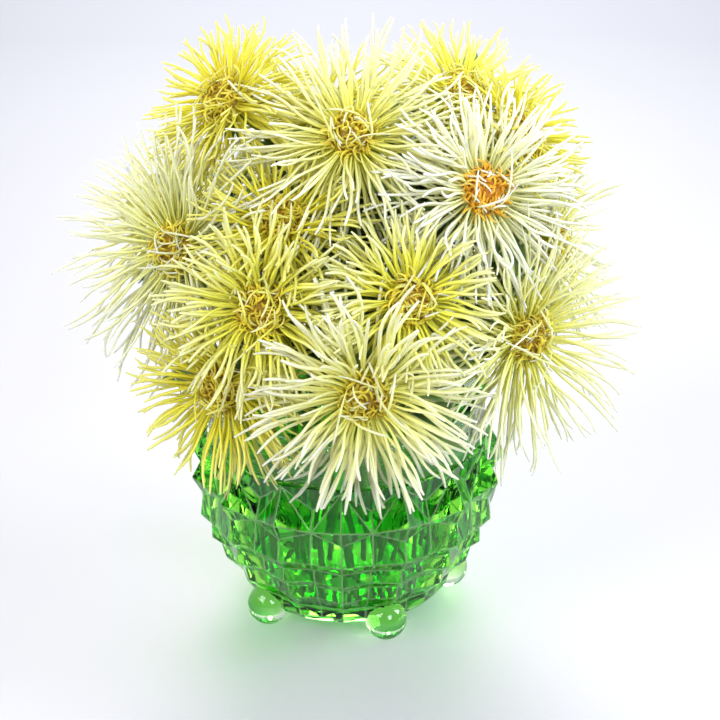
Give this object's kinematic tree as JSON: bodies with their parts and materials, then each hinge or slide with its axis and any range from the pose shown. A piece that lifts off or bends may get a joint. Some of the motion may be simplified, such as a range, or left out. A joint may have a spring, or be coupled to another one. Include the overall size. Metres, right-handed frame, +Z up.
{
  "type": "aster in vase",
  "caption": "Full bunch of needle asters with long quilled rays, standing in water in a pressed green glass vase with cut cells and ball feet.",
  "frame": {"origin": "on the table, under the middle of the box round the whole bunch", "axes": "+Z up; -Y towards the front that the picture shows; +X to the right, along the longer side of the bunch"},
  "size_m": [0.2826, 0.2276, 0.295],
  "materials": {
    "green_glass": "clear green, gloss",
    "water": "clear water",
    "green_stem": "matt, ribbed plant skin",
    "cream_rays": "soft matt petal",
    "pale_rays": "soft matt petal",
    "yellow_rays": "soft matt petal",
    "gold_rays": "soft matt petal",
    "gold_disc": "soft matt florets"
  },
  "bodies": {
    "root": {"vase": "green_glass", "water": "water", "aster_01_stem": "green_stem", "aster_01_rays": "gold_rays", "aster_01_disc": "gold_disc", "aster_02_stem": "green_stem", "aster_02_rays": "cream_rays", "aster_02_disc": "gold_disc", "aster_03_stem": "green_stem", "aster_03_rays": "yellow_rays", "aster_03_disc": "gold_disc", "aster_04_stem": "green_stem", "aster_04_rays": "cream_rays", "aster_04_disc": "gold_disc", "aster_05_stem": "green_stem", "aster_05_rays": "pale_rays", "aster_05_disc": "gold_disc", "aster_06_stem": "green_stem", "aster_06_rays": "gold_rays", "aster_06_disc": "gold_disc", "aster_07_stem": "green_stem", "aster_07_rays": "yellow_rays", "aster_07_disc": "gold_disc", "aster_08_stem": "green_stem", "aster_08_rays": "yellow_rays", "aster_08_disc": "gold_disc", "aster_09_stem": "green_stem", "aster_09_rays": "pale_rays", "aster_09_disc": "gold_disc", "aster_10_stem": "green_stem", "aster_10_rays": "gold_rays", "aster_10_disc": "gold_disc", "aster_11_stem": "green_stem", "aster_11_rays": "cream_rays", "aster_11_disc": "gold_disc", "aster_12_stem": "green_stem", "aster_12_rays": "pale_rays", "aster_12_disc": "gold_disc", "aster_13_stem": "green_stem", "aster_13_rays": "gold_rays", "aster_13_disc": "gold_disc", "aster_14_stem": "green_stem", "aster_14_rays": "cream_rays", "aster_14_disc": "gold_disc", "aster_15_stem": "green_stem", "aster_15_rays": "yellow_rays", "aster_15_disc": "gold_disc", "aster_16_stem": "green_stem", "aster_16_rays": "cream_rays", "aster_16_disc": "gold_disc", "aster_17_stem": "green_stem", "aster_17_rays": "pale_rays", "aster_17_disc": "gold_disc", "aster_18_stem": "green_stem", "aster_18_rays": "yellow_rays", "aster_18_disc": "gold_disc"}
  },
  "joints": []
}
